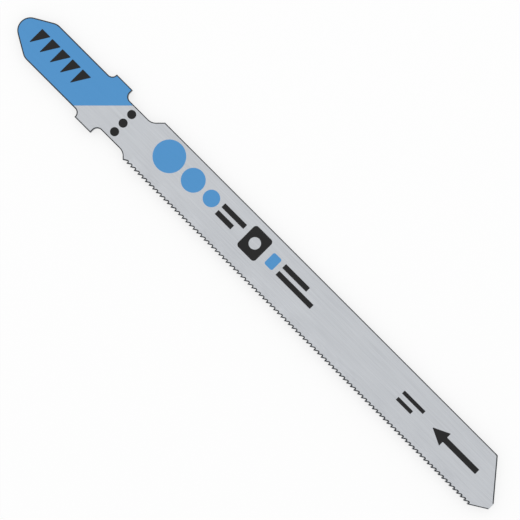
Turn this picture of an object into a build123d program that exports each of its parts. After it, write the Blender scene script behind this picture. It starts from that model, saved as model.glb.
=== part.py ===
from build123d import *
import math
import os

# Jigsaw blade with a T shank, for thin sheet metal, stamped from one strip of high-speed steel.
# All sizes are in millimetres and degrees.
# The blade lies flat: +X runs from the shank to the tip, +Y to the back edge, +Z up.
# The origin is below the middle of the length, on the shank's centreline, at the lowest tooth.

# Strip
overall_length = 92.0
thickness = 1.0
edge_break = 0.08  # small bevel left on the stamped outline by tumbling

# Tang, the part that the saw clamps
tang_width = 6.46
tang_length = 14.35  # from its nose to the front of the lugs
tang_taper_angle = 30.3  # of each flank of the nose, from the centreline
tang_nose_radius = 1.8
tang_blend_radius = 1.8

# Lugs, the crossbar of the T
lug_step = 0.855  # how far each lug stands out from the tang's side
lug_length = 3.04
lug_front_flat = 0.11  # of each lug's front, above its fillet
lug_back_fillet = 0.8

# Neck between the lugs and the blade body
neck_step = 1.315  # from a lug's outer side in to the neck's side
neck_length = 4.94
flare_angle = 45.0
flare_fillet = 1.5

# Blade body. Its back edge is in line with the lugs.
tooth_drop = 0.795  # from the neck's side out to the tooth tips
nose_slant_run = 4.29  # of the straight cut that falls from the back edge, along the blade
nose_blunt = 1.01  # short flat end
nose_heel_rise = 1.55  # from the tooth line up to the flat end
nose_heel_run = 2.52  # from the last tooth to the flat end, along the blade

# Teeth
teeth_per_inch = 36
tip_land = 0.03
rake_lean = 4.0  # of the cutting face, from square to the edge
back_angle = 32.0  # of the tooth's back, from the tooth line
gullet_radius = 0.08

# Wavy set: the toothed edge swings from side to side, so that the cut is wider than the strip
set_throw = 0.17  # how far the tooth line leaves the strip's own plane, each way
set_depth = 2.2  # how far up the blade the waves reach
half_wave_teeth = 4  # teeth in each swing to one side
unset_teeth = 1  # left straight at each end of the tooth line
set_points = 6  # spans of the curve along one swing

# Heights across the blade, from the shank's centreline
tang_y = tang_width / 2
lug_y = tang_y + lug_step
neck_y = lug_y - neck_step
tooth_y = -neck_y - tooth_drop
band_y = tooth_y + set_depth
blunt_y = tooth_y + nose_heel_rise

# Places along the blade, from its middle
inch = 25.4
tooth_pitch = inch / teeth_per_inch
tip_x = overall_length / 2
tang_apex_x = tang_nose_radius * (1 - 1 / math.sin(math.radians(tang_taper_angle))) - tip_x
tang_taper_x = tang_apex_x + tang_y / math.tan(math.radians(tang_taper_angle))
lug_front_x = tang_length - tip_x
lug_back_x = lug_front_x + lug_length
flare_x = lug_back_x + neck_length
flare_slope = math.tan(math.radians(flare_angle))
back_corner_x = flare_x + neck_step / flare_slope
first_tip_x = flare_x + tooth_drop / flare_slope
heel_x = tip_x - nose_heel_run

# The teeth and their waves
gullet_count = int((heel_x - first_tip_x) / tooth_pitch)
half_wave_count = (gullet_count - 2 * unset_teeth) // half_wave_teeth
half_wave = half_wave_teeth * tooth_pitch
set_start_x = first_tip_x + unset_teeth * tooth_pitch
set_end_x = set_start_x + half_wave_count * half_wave

# Corners of one side of the shank, from the nose of the tang to the flare: x, y, radius
shank_side = [
    (tang_taper_x, tang_y, tang_blend_radius),
    (lug_front_x, tang_y, lug_step - lug_front_flat),
    (lug_front_x, lug_y, 0),
    (lug_back_x, lug_y, 0),
    (lug_back_x, neck_y, lug_back_fillet),
    (flare_x, neck_y, flare_fillet),
]

# Corners of the blade body, from the back edge round the nose to the first tooth.
# The waved band is left out here, because it is lofted.
body_side = [
    (back_corner_x, lug_y, 0),
    (tip_x - nose_slant_run, lug_y, 0),
    (tip_x, blunt_y + nose_blunt, 0),
    (tip_x, blunt_y, 0),
    (heel_x, tooth_y, 0),
    (set_end_x, tooth_y, 0),
    (set_end_x, band_y, 0),
    (set_start_x, band_y, 0),
    (set_start_x, tooth_y, 0),
    (first_tip_x, tooth_y, 0),
]

other_side = [(x, -y, radius) for x, y, radius in reversed(shank_side)]
corners = [(tang_apex_x, 0, tang_nose_radius)] + shank_side + body_side + other_side

# One gullet, seen from above, with its origin at the tip of the tooth that it clears
gullet_mouth = tooth_pitch - tip_land
rake_shift = math.tan(math.radians(rake_lean))
gullet_apex = gullet_mouth / (rake_shift + 1 / math.tan(math.radians(back_angle)))
with BuildSketch() as gullet:
    with BuildLine():
        FilletPolyline(
            (-gullet_mouth, -tooth_pitch),
            (-gullet_mouth, 0),
            (-rake_shift * gullet_apex, gullet_apex),
            (0, 0),
            (0, -tooth_pitch),
            radius=[0, gullet_radius, 0],
        )
        Line((0, -tooth_pitch), (-gullet_mouth, -tooth_pitch))
    make_face()

with BuildPart() as jigsaw_blade:
    # Stamped blank, flat, with the waved band left open
    with BuildSketch(Plane.XY.offset(set_throw)):
        with BuildLine():
            FilletPolyline([(x, y) for x, y, r in corners], radius=[r for x, y, r in corners], close=True)
        make_face()
    extrude(amount=thickness)
    rim = jigsaw_blade.faces().filter_by(Axis.Z).edges()
    tooth_side = rim.filter_by_position(Axis.X, first_tip_x, heel_x)
    chamfer(rim - tooth_side.filter_by_position(Axis.Y, tooth_y, band_y), edge_break)

    # Waved band: each swing is lofted from its flat root to the bowed tooth line
    for n in range(half_wave_count):
        start_x = set_start_x + n * half_wave
        throw = set_throw * (-1) ** n
        bow = [
            (start_x + half_wave * k / set_points, throw * math.sin(math.pi * k / set_points))
            for k in range(set_points + 1)
        ]
        with BuildSketch(Plane.XZ.offset(-band_y)):
            with Locations((start_x + half_wave / 2, set_throw + thickness / 2)):
                Rectangle(half_wave, thickness)
        with BuildSketch(Plane.XZ.offset(-tooth_y)):
            with BuildLine():
                lower = Spline([(x, set_throw + z) for x, z in bow])
                upper = Spline([(x, set_throw + thickness + z) for x, z in bow])
                Line(lower @ 0, upper @ 0)
                Line(lower @ 1, upper @ 1)
            make_face()
        loft()

    # Gullets, milled straight through the waves
    with BuildSketch():
        with Locations([(first_tip_x + tooth_pitch * (n + 1), tooth_y) for n in range(gullet_count)]):
            add(gullet.sketch)
    extrude(amount=thickness + 2 * set_throw, mode=Mode.SUBTRACT)

jigsaw_blade.part.label = "jigsaw_blade"
os.makedirs("parts", exist_ok=True)
export_step(jigsaw_blade.part, "parts/jigsaw_blade.step")
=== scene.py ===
import math

import bmesh
import bpy
from mathutils import Matrix, Vector


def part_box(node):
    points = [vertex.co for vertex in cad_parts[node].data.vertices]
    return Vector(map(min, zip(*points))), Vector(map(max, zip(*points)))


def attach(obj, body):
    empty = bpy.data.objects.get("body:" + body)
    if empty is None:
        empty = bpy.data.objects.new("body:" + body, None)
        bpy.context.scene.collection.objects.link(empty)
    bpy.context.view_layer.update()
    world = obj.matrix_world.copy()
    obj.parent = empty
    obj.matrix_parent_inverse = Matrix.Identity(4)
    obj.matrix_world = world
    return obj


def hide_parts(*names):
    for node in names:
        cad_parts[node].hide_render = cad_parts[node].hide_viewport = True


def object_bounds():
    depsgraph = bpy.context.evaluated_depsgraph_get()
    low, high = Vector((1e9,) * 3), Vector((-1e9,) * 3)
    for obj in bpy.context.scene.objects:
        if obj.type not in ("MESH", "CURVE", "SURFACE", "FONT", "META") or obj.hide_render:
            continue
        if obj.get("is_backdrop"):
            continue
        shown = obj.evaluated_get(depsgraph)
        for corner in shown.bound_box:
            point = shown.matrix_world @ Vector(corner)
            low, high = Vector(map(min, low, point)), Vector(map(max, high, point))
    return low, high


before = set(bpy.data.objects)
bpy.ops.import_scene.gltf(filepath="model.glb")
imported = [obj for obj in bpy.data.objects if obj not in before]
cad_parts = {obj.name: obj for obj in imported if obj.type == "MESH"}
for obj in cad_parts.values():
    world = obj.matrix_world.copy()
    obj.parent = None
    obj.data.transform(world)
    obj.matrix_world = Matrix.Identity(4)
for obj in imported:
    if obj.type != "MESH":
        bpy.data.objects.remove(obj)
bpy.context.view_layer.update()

# Blade: one strip of high-speed steel with a T shank, stamped, hardened, ground flat and tumbled.
# Its teeth are milled along the lower edge and then rolled into a wavy set, a few teeth to each
# side in turn, so that the cut is wider than the strip and the blade doesn't bind in it.
mm = 0.001
inch = 25.4 * mm
set_throw = 0.17 * mm  # how far the tooth line leaves the strip's own plane, each way
set_depth = 2.2 * mm  # how far up the blade the waves reach
low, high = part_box("jigsaw_blade")
tip_x = high.x
back_y = high.y
strip_bottom = low.z + set_throw
strip_top = high.z - set_throw

tang_y = 3.23 * mm
tang_length = 14.35 * mm
tang_taper = math.radians(30.3)  # of each flank of its nose, from the centreline
tang_nose_radius = 1.8 * mm
tang_blend_radius = 1.8 * mm
tang_apex_x = low.x + tang_nose_radius * (1 - 1 / math.sin(tang_taper))
tang_taper_x = tang_apex_x + tang_y / math.tan(tang_taper)

lug_length = 3.04 * mm
lug_front_flat = 0.11 * mm  # of each lug's front, above its fillet
lug_back_fillet = 0.8 * mm
lug_front_x = low.x + tang_length
lug_back_x = lug_front_x + lug_length

neck_y = 2.77 * mm
neck_length = 4.94 * mm
flare_fillet = 1.5 * mm
flare_x = lug_back_x + neck_length

# The flare leaves the neck at 45 degrees, so it runs as far along the blade as across it.
tooth_drop = 0.795 * mm  # from the neck's side out to the tooth tips
tooth_y = -neck_y - tooth_drop
root_y = tooth_y + set_depth
back_corner_x = flare_x + back_y - neck_y
first_tip_x = flare_x + tooth_drop

nose_slant_run = 4.29 * mm  # of the long cut that falls from the back edge, along the blade
nose_blunt = 1.01 * mm  # short flat end
nose_heel_run = 2.52 * mm  # from the last tooth to the flat end, along the blade
nose_heel_rise = 1.55 * mm  # and across it
heel_x = tip_x - nose_heel_run
blunt_y = tooth_y + nose_heel_rise

teeth_per_inch = 36
tooth_pitch = inch / teeth_per_inch
tip_land = 0.03 * mm
rake_lean = math.radians(4)  # of the cutting face, from square to the edge
back_angle = math.radians(32)  # of the tooth's back, from the tooth line
gullet_radius = 0.08 * mm
gullet_step = math.radians(21)  # largest turn from point to point round the gullet
gullet_count = int((heel_x - first_tip_x) / tooth_pitch)
last_tip_x = first_tip_x + gullet_count * tooth_pitch

half_wave_teeth = 4  # teeth in each swing to one side
unset_teeth = 1  # left straight at each end of the tooth line
set_power = 2  # the set grows with the square of the depth below its root
swing_count = (gullet_count - 2 * unset_teeth) // half_wave_teeth
set_start_x = first_tip_x + unset_teeth * tooth_pitch
set_end_x = set_start_x + swing_count * half_wave_teeth * tooth_pitch

edge_break = 0.08 * mm  # rounding that tumbling gives the stamped edges
break_fade = 0.3 * mm  # over which the rounded edge runs out beside the teeth
break_turns = [math.radians(turn) for turn in (0, 30, 60, 90)]  # points round the edge
# Painted shade: a dark line laid round the rim and beside the teeth stands in for the shade of these
# edges.
edge_shade_width = 0.065 * mm  # painted shade: a dark line beside each stamped edge, in place of the shade of its rounded rim
tang_edge_shade_width = 0.09 * mm  # it is wider round the tang
nose_edge_shade_width = 0.1 * mm  # and at the long cut of the nose
nose_edge_shade_fade = 0.5 * mm  # over which it narrows again along the back edge
tooth_edge_shade_width = 0.155 * mm  # round the teeth, whose edges stay sharp
row_heights = [0.62 * mm, 1.4 * mm, set_depth]  # rows of points above the tooth line
weld = 0.001 * mm  # points nearer than this are one point
arc_step = math.radians(9)  # largest turn from point to point of a rounded corner


def rounded(corners, step=arc_step):
    """Points of an outline whose corners, each (x, y, radius), are rounded by arcs."""
    points = []
    for i, (x, y, radius) in enumerate(corners):
        corner = Vector((x, y))
        if radius == 0:
            points.append(corner)
            continue
        before = (Vector(corners[i - 1][:2]) - corner).normalized()
        after = (Vector(corners[(i + 1) % len(corners)][:2]) - corner).normalized()
        half = before.angle(after) / 2
        centre = corner + (before + after).normalized() * radius / math.sin(half)
        start = corner + before * radius / math.tan(half) - centre
        turn = math.copysign(math.pi - 2 * half, -before.cross(after))
        count = 2 * math.ceil(abs(turn) / step / 2)
        for k in range(count + 1):
            angle = math.atan2(start.y, start.x) + turn * k / count
            points.append(centre + radius * Vector((math.cos(angle), math.sin(angle))))
    return points


def inset(path, depths):
    """The path moved to its left, with a depth for each point. Its ends move straight up."""
    along = [(b - a).normalized() for a, b in zip(path, path[1:])]
    left = [Vector((-d.y, d.x)) for d in along]
    moved = [path[0] + Vector((0, depths[0]))]
    for point, depth, a, b in zip(path[1:], depths[1:], left, left[1:]):
        moved.append(point + (a + b) * depth / (1 + a.dot(b)))
    moved.append(path[-1] + Vector((0, depths[-1])))
    # An edge too short for the depth shrinks to the point where its neighbours meet.
    for i in range(1, len(path) - 2):
        if (moved[i + 1] - moved[i]).dot(along[i]) < 0:
            reach = (moved[i + 2] - moved[i - 1]).cross(along[i + 1])
            meeting = moved[i - 1] + along[i - 1] * reach / along[i - 1].cross(along[i + 1])
            moved[i] = moved[i + 1] = meeting
    return moved


def skin(name, rows, edge_shaded, wall, caps, bare=None):
    """An object of quads between rows of points, and of flat caps, each on a row and more points.
    The strips numbered in the third argument get the painted edge shade, and wall numbers the cut wall.
    The bare column has no painted shade."""
    shell = bmesh.new()
    # Faces that get the painted edge shade, a dark line in place of the shade of the edge
    scale_line = shell.faces.layers.bool.new("scale_line")
    cut_wall = shell.faces.layers.bool.new("cut_wall")
    laid = [[shell.verts.new(p) for p in row] for row in rows]
    for r, (inner, outer) in enumerate(zip(laid, laid[1:])):
        for i in range(len(inner) - 1):
            face = shell.faces.new((inner[i], outer[i], outer[i + 1], inner[i + 1]))
            face[scale_line] = r in edge_shaded and i != bare
            face[cut_wall] = r == wall
    for row, more in caps:
        ring = laid[row] + [shell.verts.new(p) for p in more]
        shell.faces.new(ring if row == 0 else reversed(ring))
    bmesh.ops.remove_doubles(shell, verts=shell.verts, dist=weld)
    mesh = bpy.data.meshes.new(name)
    shell.to_mesh(mesh)
    shell.free()
    made = bpy.data.objects.new(name, mesh)
    bpy.context.scene.collection.objects.link(made)
    return made


def raised(points, heights):
    """Flat points given their heights, with one height for all or one for each."""
    heights = heights if isinstance(heights, list) else [heights] * len(points)
    return [Vector((p.x, p.y, z)) for p, z in zip(points, heights)]


# One tooth, from the bottom of one gullet to the bottom of the next, with its tip at the origin.
gullet_mouth = tooth_pitch - tip_land
gullet_apex = gullet_mouth / (math.tan(rake_lean) + 1 / math.tan(back_angle))
gullet = rounded(
    [
        (-gullet_mouth, 0, 0),
        (-math.tan(rake_lean) * gullet_apex, gullet_apex, gullet_radius),
        (0, 0, 0),
    ],
    gullet_step,
)
deepest = max(range(len(gullet)), key=lambda i: gullet[i].y)
rake_side = gullet[deepest:]
back_side = [p + Vector((tooth_pitch, 0)) for p in gullet[: deepest + 1]]
profile = rake_side + back_side
strips = len(profile) - 1
spread = [profile[0].x + tooth_pitch * i / strips for i in range(strips + 1)]
# The second row bounds the painted edge shade, a dark line beside the tooth's edge.
tooth_rows = [profile, inset(profile, [tooth_edge_shade_width] * len(profile))]
tooth_rows += [[Vector((x, y)) for x in spread] for y in row_heights]
tooth_rows.reverse()
upper_rows = [raised(row, strip_top) for row in tooth_rows]
lower_rows = [raised(row, strip_bottom) for row in reversed(tooth_rows)]
wall = len(upper_rows) - 1  # the strip of faces between the two sides
# The strips on either side of the wall, beside the tooth's edge, get the painted edge shade.
tooth = skin("tooth", upper_rows + lower_rows, (wall - 1, wall + 1), wall, [])

# The strip, with the band of whole teeth left open. Its rim runs from the last gullet round the
# nose, the back edge and the shank to the first gullet.
shank_side = [
    (tang_taper_x, tang_y, tang_blend_radius),
    (lug_front_x, tang_y, back_y - tang_y - lug_front_flat),
    (lug_front_x, back_y, 0),
    (lug_back_x, back_y, 0),
    (lug_back_x, neck_y, lug_back_fillet),
    (flare_x, neck_y, flare_fillet),
]
fade = break_fade / math.hypot(nose_heel_run, nose_heel_rise)
nose_side = [
    (heel_x + fade * nose_heel_run, tooth_y + fade * nose_heel_rise, 0),
    (tip_x, blunt_y, 0),
    (tip_x, blunt_y + nose_blunt, 0),
    (tip_x - nose_slant_run, back_y, 0),
    (tip_x - nose_slant_run - nose_edge_shade_fade, back_y, 0),
    (back_corner_x, back_y, 0),
]
lower_side = [(x, -y, radius) for x, y, radius in shank_side]
corners = nose_side + shank_side[::-1] + [(tang_apex_x, 0, tang_nose_radius)] + lower_side
stamped = rounded(corners + [(first_tip_x, tooth_y, 0)])[:-1]
first_tip = Vector((first_tip_x, tooth_y))
last_tip = Vector((last_tip_x, tooth_y))
start = [last_tip + p for p in rake_side] + [Vector((heel_x, tooth_y))]
end = [first_tip] + [first_tip + p for p in back_side]
rim = start + stamped + end
breaks = [0] * len(start) + [edge_break] * len(stamped) + [0] * len(end)
# How far in from the rim the painted edge shade reaches at each point.
edge_shade_reach = [b + edge_shade_width if b else tooth_edge_shade_width for b in breaks]
for i, point in enumerate(rim):
    if point.x < lug_front_x:
        edge_shade_reach[i] = edge_break + tang_edge_shade_width
tip_cut = len(start) + 1  # the short flat end, which has no painted edge shade
for i in (tip_cut + 1, tip_cut + 2):  # both ends of the long cut of the nose
    edge_shade_reach[i] = edge_break + nose_edge_shade_width

upper_rows = [raised(inset(rim, edge_shade_reach), strip_top)]
lower_rows = [raised(inset(rim, edge_shade_reach), strip_bottom)]
for turn in break_turns:
    loop = inset(rim, [b * (1 - math.sin(turn)) for b in breaks])
    drops = [b * (1 - math.cos(turn)) for b in breaks]
    upper_rows.append(raised(loop, [strip_top - drop for drop in drops]))
    lower_rows.append(raised(loop, [strip_bottom + drop for drop in drops]))
rim_rows = upper_rows + lower_rows[::-1]

root_strips = (gullet_count - 1) * strips
root_run = rim[0].x - rim[-1].x
root_line = [rim[-1].x + root_run * i / root_strips for i in range(root_strips + 1)]
inner_side = [Vector((rim[-1].x, tooth_y + y)) for y in row_heights[:-1]]
inner_side += [Vector((x, root_y)) for x in root_line]
inner_side += [Vector((rim[0].x, tooth_y + y)) for y in reversed(row_heights[:-1])]
last_row = len(rim_rows) - 1
caps = [(0, raised(inner_side, strip_top)), (last_row, raised(inner_side, strip_bottom))]
wall = len(upper_rows) - 1
# Every strip of the rim but the cut wall gets painted edge shade: the rounded edge and a thin line on
# each flat.
edge_shaded = [r for r in range(last_row) if r != wall]
blank = skin("blank", rim_rows, edge_shaded, wall, caps, tip_cut)


def linear(hex_colour):
    """An sRGB colour, such as "#C1C4C8", as linear values with alpha."""
    parts = [int(hex_colour[i : i + 2], 16) / 255 for i in (1, 3, 5)]
    return [c / 12.92 if c <= 0.04045 else ((c + 0.055) / 1.055) ** 2.4 for c in parts] + [1]


def add(tree, kind, links, **settings):
    """Adds a node with its settings. links gives each input socket a value or an output to join.
    Sockets 6 and 7 of a Mix node are its colours."""
    made = tree.nodes.new(kind)
    for name, value in settings.items():
        setattr(made, name, value)
    for socket, source in links.items():
        if isinstance(source, bpy.types.NodeSocket):
            tree.links.new(source, made.inputs[socket])
        else:
            made.inputs[socket].default_value = source
    return made


def new_material(name):
    """A new material, with its tree and its shader."""
    material = bpy.data.materials.new(name)
    material.use_nodes = True
    return material, material.node_tree, material.node_tree.nodes["Principled BSDF"]


# Ground high-speed steel: pale grey satin, with fine grinding lines along the blade and a faint
# cloudiness. Such lines are about 0.02 mm apart, and are drawn 0.04 mm wide so that they show.
grind_line = 0.04 * mm
grind_run = 6 * mm
cloud = 5 * mm
cloud_share = 0.15
line_relief = 0.02 * mm
flat_steel, tree, shader = new_material("ground_high_speed_steel")
place = add(tree, "ShaderNodeTexCoord", {}).outputs["Object"]
grind_scale = (1 / grind_run, 1 / grind_line, 1 / grind_line)
along = add(tree, "ShaderNodeMapping", {"Vector": place, "Scale": grind_scale})
lines = add(tree, "ShaderNodeTexNoise", {"Vector": along.outputs[0], "Scale": 1, "Detail": 3})
clouds = add(tree, "ShaderNodeTexNoise", {"Vector": place, "Scale": 1 / cloud, "Detail": 2})
mixed = add(
    tree,
    "ShaderNodeMix",
    {"Factor": cloud_share, "A": lines.outputs["Fac"], "B": clouds.outputs["Fac"]},
)
tone = add(
    tree,
    "ShaderNodeMix",
    {0: mixed.outputs[0], 6: linear("#A5A8AD"), 7: linear("#D8DBDF")},
    data_type="RGBA",
)
tree.links.new(tone.outputs[2], shader.inputs["Base Color"])
sheen = add(tree, "ShaderNodeMapRange", {"Value": mixed.outputs[0], "To Min": 0.34, "To Max": 0.46})
tree.links.new(sheen.outputs[0], shader.inputs["Roughness"])
relief = add(
    tree,
    "ShaderNodeBump",
    {"Height": lines.outputs["Fac"], "Strength": 0.15, "Distance": line_relief},
)
tree.links.new(relief.outputs[0], shader.inputs["Normal"])
shader.inputs["Metallic"].default_value = 1

# Stamped and milled edges of the same steel: duller and darker than the flats, with the streaks of
# the die and of the cutter across the thickness. Such streaks are about 0.03 mm apart, and are
# drawn 0.12 mm wide so that they show.
streak = 0.12 * mm
streak_run = 0.6 * mm
streak_scale = (1 / streak, 1 / streak, 1 / streak_run)


def streaked_steel(name, dark, pale, roughness):
    """Steel with streaks across the thickness of the strip."""
    steel, tree, shader = new_material(name)
    place = add(tree, "ShaderNodeTexCoord", {}).outputs["Object"]
    across = add(tree, "ShaderNodeMapping", {"Vector": place, "Scale": streak_scale})
    streaks = add(tree, "ShaderNodeTexNoise", {"Vector": across.outputs[0], "Scale": 1, "Detail": 2})
    tone = add(
        tree,
        "ShaderNodeMix",
        {0: streaks.outputs["Fac"], 6: linear(dark), 7: linear(pale)},
        data_type="RGBA",
    )
    tree.links.new(tone.outputs[2], shader.inputs["Base Color"])
    relief = add(
        tree,
        "ShaderNodeBump",
        {"Height": streaks.outputs["Fac"], "Strength": 0.2, "Distance": line_relief},
    )
    tree.links.new(relief.outputs[0], shader.inputs["Normal"])
    shader.inputs["Metallic"].default_value = 1
    shader.inputs["Roughness"].default_value = roughness
    return steel


edge_steel = streaked_steel("stamped_edge_steel", "#63666A", "#9A9DA1", 0.42)

# Painted edge shade: a dark, dull copy of the edge steel, laid as a thin line round the rim, where
# tumbling has rounded the edge, and beside the teeth. Its dark colour stands in for the shade of these
# edges.
edge_shade_steel = streaked_steel("painted_edge_shade", "#2B2D30", "#4A4D50", 0.5)

# The tree lays the tooth along the open band, joins it to the strip and rolls the wavy set in.
setting = bpy.data.node_groups.new("wavy_set", "GeometryNodeTree")
sizes = {
    "Strip": ("NodeSocketGeometry", None),
    "Tooth": ("NodeSocketObject", tooth),
    "Tooth Count": ("NodeSocketInt", gullet_count - 1),
    "Tooth Pitch": ("NodeSocketFloat", tooth_pitch),
    "First Tooth": ("NodeSocketVector", (first_tip_x + tooth_pitch, tooth_y, 0)),
    "Set Start": ("NodeSocketFloat", set_start_x),
    "Set End": ("NodeSocketFloat", set_end_x),
    "Swings": ("NodeSocketFloat", float(swing_count)),
    "Throw": ("NodeSocketFloat", set_throw),
    "Root Line": ("NodeSocketFloat", root_y),
    "Tooth Line": ("NodeSocketFloat", tooth_y),
    "Flat Steel": ("NodeSocketMaterial", flat_steel),
    "Edge Steel": ("NodeSocketMaterial", edge_steel),
    "Edge Shade Steel": ("NodeSocketMaterial", edge_shade_steel),
}
sockets = {n: setting.interface.new_socket(n, socket_type=kind) for n, (kind, value) in sizes.items()}
setting.interface.new_socket("Blade", in_out="OUTPUT", socket_type="NodeSocketGeometry")
given = add(setting, "NodeGroupInput", {}).outputs
shape = add(setting, "GeometryNodeObjectInfo", {"Object": given["Tooth"]}).outputs["Geometry"]
step = add(setting, "ShaderNodeCombineXYZ", {"X": given["Tooth Pitch"]}).outputs[0]
line = add(
    setting,
    "GeometryNodeMeshLine",
    {"Count": given["Tooth Count"], "Start Location": given["First Tooth"], "Offset": step},
)
teeth = add(setting, "GeometryNodeInstanceOnPoints", {"Points": line.outputs[0], "Instance": shape})
real = add(setting, "GeometryNodeRealizeInstances", {"Geometry": teeth.outputs[0]})
joined = add(setting, "GeometryNodeJoinGeometry", {"Geometry": real.outputs[0]})
setting.links.new(given["Strip"], joined.inputs[0])
welded = add(setting, "GeometryNodeMergeByDistance", {"Geometry": joined.outputs[0], "Distance": weld})
point = add(setting, "GeometryNodeInputPosition", {})
parts = add(setting, "ShaderNodeSeparateXYZ", {0: point.outputs[0]}).outputs
half_turns = add(setting, "ShaderNodeMath", {0: given["Swings"], 1: math.pi}, operation="MULTIPLY")
phase = add(
    setting,
    "ShaderNodeMapRange",
    {
        "Value": parts["X"],
        "From Min": given["Set Start"],
        "From Max": given["Set End"],
        "To Max": half_turns.outputs[0],
    },
)
swing = add(setting, "ShaderNodeMath", {0: phase.outputs[0]}, operation="SINE")
depth = add(
    setting,
    "ShaderNodeMapRange",
    {"Value": parts["Y"], "From Min": given["Root Line"], "From Max": given["Tooth Line"]},
)
bend = add(setting, "ShaderNodeMath", {0: depth.outputs[0], 1: set_power}, operation="POWER")
lean = add(setting, "ShaderNodeMath", {0: swing.outputs[0], 1: bend.outputs[0]}, operation="MULTIPLY")
rise = add(setting, "ShaderNodeMath", {0: lean.outputs[0], 1: given["Throw"]}, operation="MULTIPLY")
shift = add(setting, "ShaderNodeCombineXYZ", {"Z": rise.outputs[0]})
rolled = add(
    setting,
    "GeometryNodeSetPosition",
    {"Geometry": welded.outputs[0], "Offset": shift.outputs[0]},
)
coat = add(
    setting,
    "GeometryNodeSetMaterial",
    {"Geometry": rolled.outputs[0], "Material": given["Flat Steel"]},
)
# The cut wall gets the edge steel, and the flagged rim and tooth strips get the painted edge shade.
for finish, steel in (("cut_wall", "Edge Steel"), ("scale_line", "Edge Shade Steel")):
    chosen = add(setting, "GeometryNodeInputNamedAttribute", {"Name": finish}, data_type="BOOLEAN")
    coat = add(
        setting,
        "GeometryNodeSetMaterial",
        {"Geometry": coat.outputs[0], "Selection": chosen.outputs[0], "Material": given[steel]},
    )
add(setting, "NodeGroupOutput", {"Blade": coat.outputs[0]})

modifier = blank.modifiers.new("wavy_set", "NODES")
modifier.node_group = setting
for name, (kind, value) in sizes.items():
    if value is not None:
        modifier[sockets[name].identifier] = value
bpy.context.view_layer.update()
mesh = bpy.data.meshes.new_from_object(blank.evaluated_get(bpy.context.evaluated_depsgraph_get()))
blade = bpy.data.objects.new("blade_steel", mesh)
bpy.context.scene.collection.objects.link(blade)
bpy.data.objects.remove(blank)
bpy.data.objects.remove(tooth)
sharp_turn = math.radians(40)  # an edge that turns more than this is drawn sharp
for face in mesh.polygons:
    face.use_smooth = len(face.vertices) <= 4  # the two flats are the only faces with more
mesh.set_sharp_from_angle(angle=sharp_turn)
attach(blade, "root")
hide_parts("jigsaw_blade")

# Blue field on the tang: a film of ink, pad-printed on the upper side up to the painted edge shade
# line. It ends in a straight line at 45 degrees, behind the upper lug and in front of the lower one.
film_thickness = 0.012 * mm
film_key = 0.002 * mm  # the ink keys into the grinding lines
field_end = 29.735 * mm  # of the line y = x + field_end


def printed(name, shapes, ink, base=strip_top):
    """A closed film of ink on the blade's upper side. A shape inside another is a hole in it."""
    curve = bpy.data.curves.new(name, "CURVE")
    curve.dimensions = "2D"
    curve.fill_mode = "BOTH"
    curve.extrude = (film_thickness + film_key) / 2 / mm
    for shape in shapes:
        spline = curve.splines.new("POLY")
        spline.points.add(len(shape) - 1)
        spline.use_cyclic_u = True
        for point, (x, y) in zip(spline.points, shape):
            point.co = (x / mm, y / mm, 0, 1)
    drawn = bpy.data.objects.new(name, curve)
    bpy.context.scene.collection.objects.link(drawn)
    bpy.context.view_layer.update()
    mesh = bpy.data.meshes.new_from_object(drawn.evaluated_get(bpy.context.evaluated_depsgraph_get()))
    bpy.data.objects.remove(drawn)
    lift = base + (film_thickness - film_key) / 2
    mesh.transform(Matrix.Translation((0, 0, lift)) @ Matrix.Scale(mm, 4))
    film = bmesh.new()
    film.from_mesh(mesh)
    bmesh.ops.remove_doubles(film, verts=film.verts, dist=weld)
    bmesh.ops.recalc_face_normals(film, faces=film.faces)
    film.to_mesh(mesh)
    film.free()
    mesh.materials.clear()
    mesh.materials.append(ink)
    made = bpy.data.objects.new(name, mesh)
    bpy.context.scene.collection.objects.link(made)
    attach(made, "root")


def satin_ink(name, pale, dark):
    """Pad-printed two-part ink: an even satin film, through which the grinding lines still show.
    Its IOR is a little under the usual 1.5, which makes the black deeper."""
    ink, tree, shader = new_material(name)
    place = add(tree, "ShaderNodeTexCoord", {}).outputs["Object"]
    along = add(tree, "ShaderNodeMapping", {"Vector": place, "Scale": grind_scale})
    lines = add(tree, "ShaderNodeTexNoise", {"Vector": along.outputs[0], "Scale": 1, "Detail": 3})
    tone = add(
        tree,
        "ShaderNodeMix",
        {0: lines.outputs["Fac"], 6: linear(dark), 7: linear(pale)},
        data_type="RGBA",
    )
    tree.links.new(tone.outputs[2], shader.inputs["Base Color"])
    relief = add(
        tree,
        "ShaderNodeBump",
        {"Height": lines.outputs["Fac"], "Strength": 0.08, "Distance": line_relief},
    )
    tree.links.new(relief.outputs[0], shader.inputs["Normal"])
    shader.inputs["Roughness"].default_value = 0.4
    shader.inputs["IOR"].default_value = 1.35
    return ink


blue_ink = satin_ink("satin_blue_pad_printed_ink", "#5297D0", "#4A8FC8")
inner_rim = inset(rim, edge_shade_reach)
field = []
for a, b in zip(inner_rim, inner_rim[1:]):
    beyond_a = a.y - a.x - field_end
    beyond_b = b.y - b.x - field_end
    if beyond_a >= 0:
        field.append(a)
    if beyond_a * beyond_b < 0:
        field.append(a.lerp(b, beyond_a / (beyond_a - beyond_b)))
printed("tang_field_blue", [field], blue_ink)

# Blue marks on the blade: a plain row of three discs, each smaller than the last, and a short
# upright bar nearer to the tip. They are printed in one pass with the field on the tang.
ink_spread = 0.06 * mm  # by which the ink rounds off a corner


def bar(x, y, length, height, radius=ink_spread):
    """An upright or lengthwise bar, from its middle, with rounded corners."""
    a, b = length / 2, height / 2
    corners = [(x - a, y - b), (x + a, y - b), (x + a, y + b), (x - a, y + b)]
    return rounded([(u, v, radius) for u, v in corners])


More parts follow.
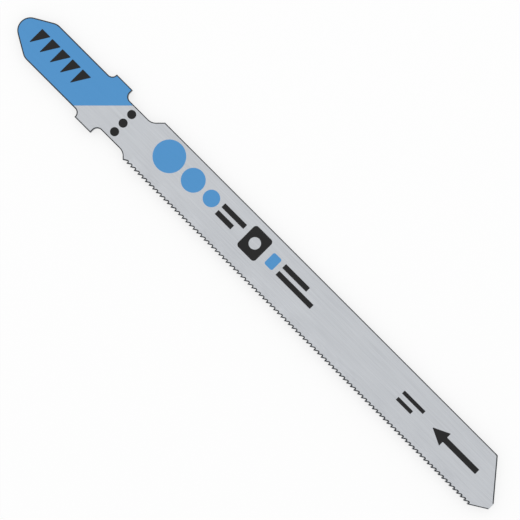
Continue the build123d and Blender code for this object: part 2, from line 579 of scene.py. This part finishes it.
def disc(x, y, diameter):
    """A disc, from its middle."""
    count = 40
    radius = diameter / 2
    turns = [2 * math.pi * k / count for k in range(count)]
    return [Vector((x + radius * math.cos(t), y + radius * math.sin(t))) for t in turns]


disc_row_y = 1.25 * mm
disc_row = [(-18.7 * mm, 4.6 * mm), (-14.1 * mm, 3.4 * mm), (-10.6 * mm, 2.4 * mm)]  # x, diameter
discs = [disc(x, disc_row_y, diameter) for x, diameter in disc_row]
printed("blade_discs_blue", discs, blue_ink)

print_y = 1.1 * mm  # middle line of the marks between the discs and the tip
blue_bar_x = 1.4 * mm
blue_bar_length = 1.5 * mm
blue_bar_height = 2.05 * mm
blue_bar_radius = 0.3 * mm
blue_bar = bar(blue_bar_x, print_y, blue_bar_length, blue_bar_height, blue_bar_radius)
printed("blade_bar_blue", [blue_bar], blue_ink)

# Black marks on the tang, neck and blade: a row of five plain teeth, dots, bars, a pierced plate
# and an arrow that points the way the teeth cut. They are printed last, in one pass.
black_ink = satin_ink("satin_black_pad_printed_ink", "#121213", "#0A0A0B")

tooth_mark_count = 5
tooth_mark_x = -43.2 * mm
tooth_mark_step = 1.95 * mm
tooth_mark_width = 1.6 * mm
tooth_mark_half = 1.3 * mm
tooth_marks = []
for k in range(tooth_mark_count):
    x = tooth_mark_x + k * tooth_mark_step
    corners = [(x, -tooth_mark_half), (x + tooth_mark_width, tooth_mark_half), (x, tooth_mark_half)]
    tooth_marks.append(rounded([(u, v, ink_spread) for u, v in corners]))
printed("tang_tooth_row_black", tooth_marks, black_ink, strip_top + film_thickness)

neck_dot_x = -26.35 * mm
neck_dot_step = 1.65 * mm
neck_dot_width = 1.25 * mm
neck_dots = [disc(neck_dot_x, k * neck_dot_step, neck_dot_width) for k in (-1, 0, 1)]
printed("neck_dots_black", neck_dots, black_ink)

line_step = 0.65 * mm  # of each of two bars from the middle line
line_height = 0.75 * mm
line_bars = [
    bar(-6.7 * mm, print_y + line_step, 4.2 * mm, line_height),
    bar(-7.3 * mm, print_y - line_step, 3.0 * mm, line_height),
    bar(5.2 * mm, print_y + line_step, 4.6 * mm, line_height),
    bar(6.2 * mm, print_y - line_step, 6.6 * mm, line_height),
]
plate_x = -2.1 * mm
plate_length = 3.4 * mm
plate_height = 3.9 * mm
plate_radius = 0.5 * mm
plate_hole = 1.7 * mm
plate = bar(plate_x, print_y, plate_length, plate_height, plate_radius)
hole = disc(plate_x, print_y, plate_hole)
printed("blade_bars_black", line_bars + [plate, hole], black_ink)

small_line_step = 1.2 * mm
small_line_height = 0.55 * mm
small_bars = [
    bar(28.5 * mm, print_y, 4.0 * mm, small_line_height),
    bar(27.9 * mm, print_y - small_line_step, 2.8 * mm, small_line_height),
]
printed("tip_bars_black", small_bars, black_ink)

arrow_y = 0.5 * mm
arrow_tip_x = 32.7 * mm
arrow_head_x = 35.1 * mm
arrow_end_x = 41.3 * mm
arrow_half = 1.15 * mm
shaft_half = 0.42 * mm
corners = [
    (arrow_tip_x, arrow_y),
    (arrow_head_x, arrow_y - arrow_half),
    (arrow_head_x, arrow_y - shaft_half),
    (arrow_end_x, arrow_y - shaft_half),
    (arrow_end_x, arrow_y + shaft_half),
    (arrow_head_x, arrow_y + shaft_half),
    (arrow_head_x, arrow_y + arrow_half),
]
arrow = rounded([(x, y, ink_spread) for x, y in corners])
printed("tip_arrow_black", [arrow], black_ink)

# Floor: a wide sheet of matt white card. It renders white to the camera and in reflections, and
# gives back a little less light than that to the blade.
floor_half = 1.5
own_white = 0.72  # share of the card's white that no shadow takes away
card = bpy.data.meshes.new("floor")
corner_signs = [(-1, -1), (1, -1), (1, 1), (-1, 1)]
card.from_pydata([(x * floor_half, y * floor_half, low.z) for x, y in corner_signs], [], [(0, 1, 2, 3)])


def seen_rays(tree):
    """1 for a ray that shows a thing straight, in a reflection or through glass, else 0."""
    path = add(tree, "ShaderNodeLightPath", {}).outputs
    shown = path["Is Camera Ray"]
    for kind in ("Is Glossy Ray", "Is Transmission Ray"):
        either = add(tree, "ShaderNodeMath", {0: shown, 1: path[kind]}, operation="MAXIMUM")
        shown = either.outputs[0]
    return shown


white_card, tree, shader = new_material("matt_white_card")
seen = seen_rays(tree)
share = add(tree, "ShaderNodeMath", {0: seen, 1: own_white}, operation="MULTIPLY")
tone = add(
    tree,
    "ShaderNodeMix",
    {0: seen, 6: linear("#E6E6E6"), 7: linear("#FFFFFF")},
    data_type="RGBA",
)
tree.links.new(tone.outputs[2], shader.inputs["Base Color"])
shader.inputs["Roughness"].default_value = 1
shader.inputs["Specular IOR Level"].default_value = 0
glow = add(tree, "ShaderNodeEmission", {"Color": linear("#FFFFFF"), "Strength": 1})
blend = add(
    tree,
    "ShaderNodeMixShader",
    {0: share.outputs[0], 1: shader.outputs[0], 2: glow.outputs[0]},
)
tree.links.new(blend.outputs[0], tree.nodes["Material Output"].inputs["Surface"])
card.materials.append(white_card)
floor = bpy.data.objects.new("floor", card)
bpy.context.scene.collection.objects.link(floor)
floor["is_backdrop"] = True

# Light: an even white room, and one large soft lamp above the shank's end. They are at a plain
# level, at which the steel and the blue ink come out about as their colours are written.
room_level = 0.88
lamp_power = 0.75
lamp_size = 0.8
lamp_place = Vector((-0.36, 0.36, 0.36))
room = bpy.data.worlds.new("room")
bpy.context.scene.world = room
room.use_nodes = True
tree = room.node_tree
level = add(tree, "ShaderNodeMapRange", {"Value": seen_rays(tree), "To Min": room_level, "To Max": 1})
background = tree.nodes["Background"]
background.inputs["Color"].default_value = linear("#FFFFFF")
tree.links.new(level.outputs[0], background.inputs["Strength"])
lamp = bpy.data.lights.new("softbox", "AREA")
lamp.energy = lamp_power
lamp.size = lamp_size
softbox = bpy.data.objects.new("softbox", lamp)
softbox.location = lamp_place
softbox.rotation_euler = (-lamp_place).to_track_quat("-Z", "Y").to_euler()
bpy.context.scene.collection.objects.link(softbox)

# Camera: straight above the blade, turned so that the blade lies from the upper left to the
# lower right.
shown_width = 70.78 * mm  # from side to side of the image, at the blade's upper side
lens = 150
sensor = 36
camera = bpy.data.cameras.new("camera")
camera.lens = lens
camera.sensor_width = sensor
camera.clip_start = 0.01
view_from = bpy.data.objects.new("camera", camera)
view_from.location = (0, 0, strip_top + shown_width * lens / sensor)
view_from.rotation_euler = (0, 0, math.radians(45))
bpy.context.scene.collection.objects.link(view_from)
bpy.context.scene.camera = view_from
bpy.context.scene.view_settings.view_transform = "Standard"

low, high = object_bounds()
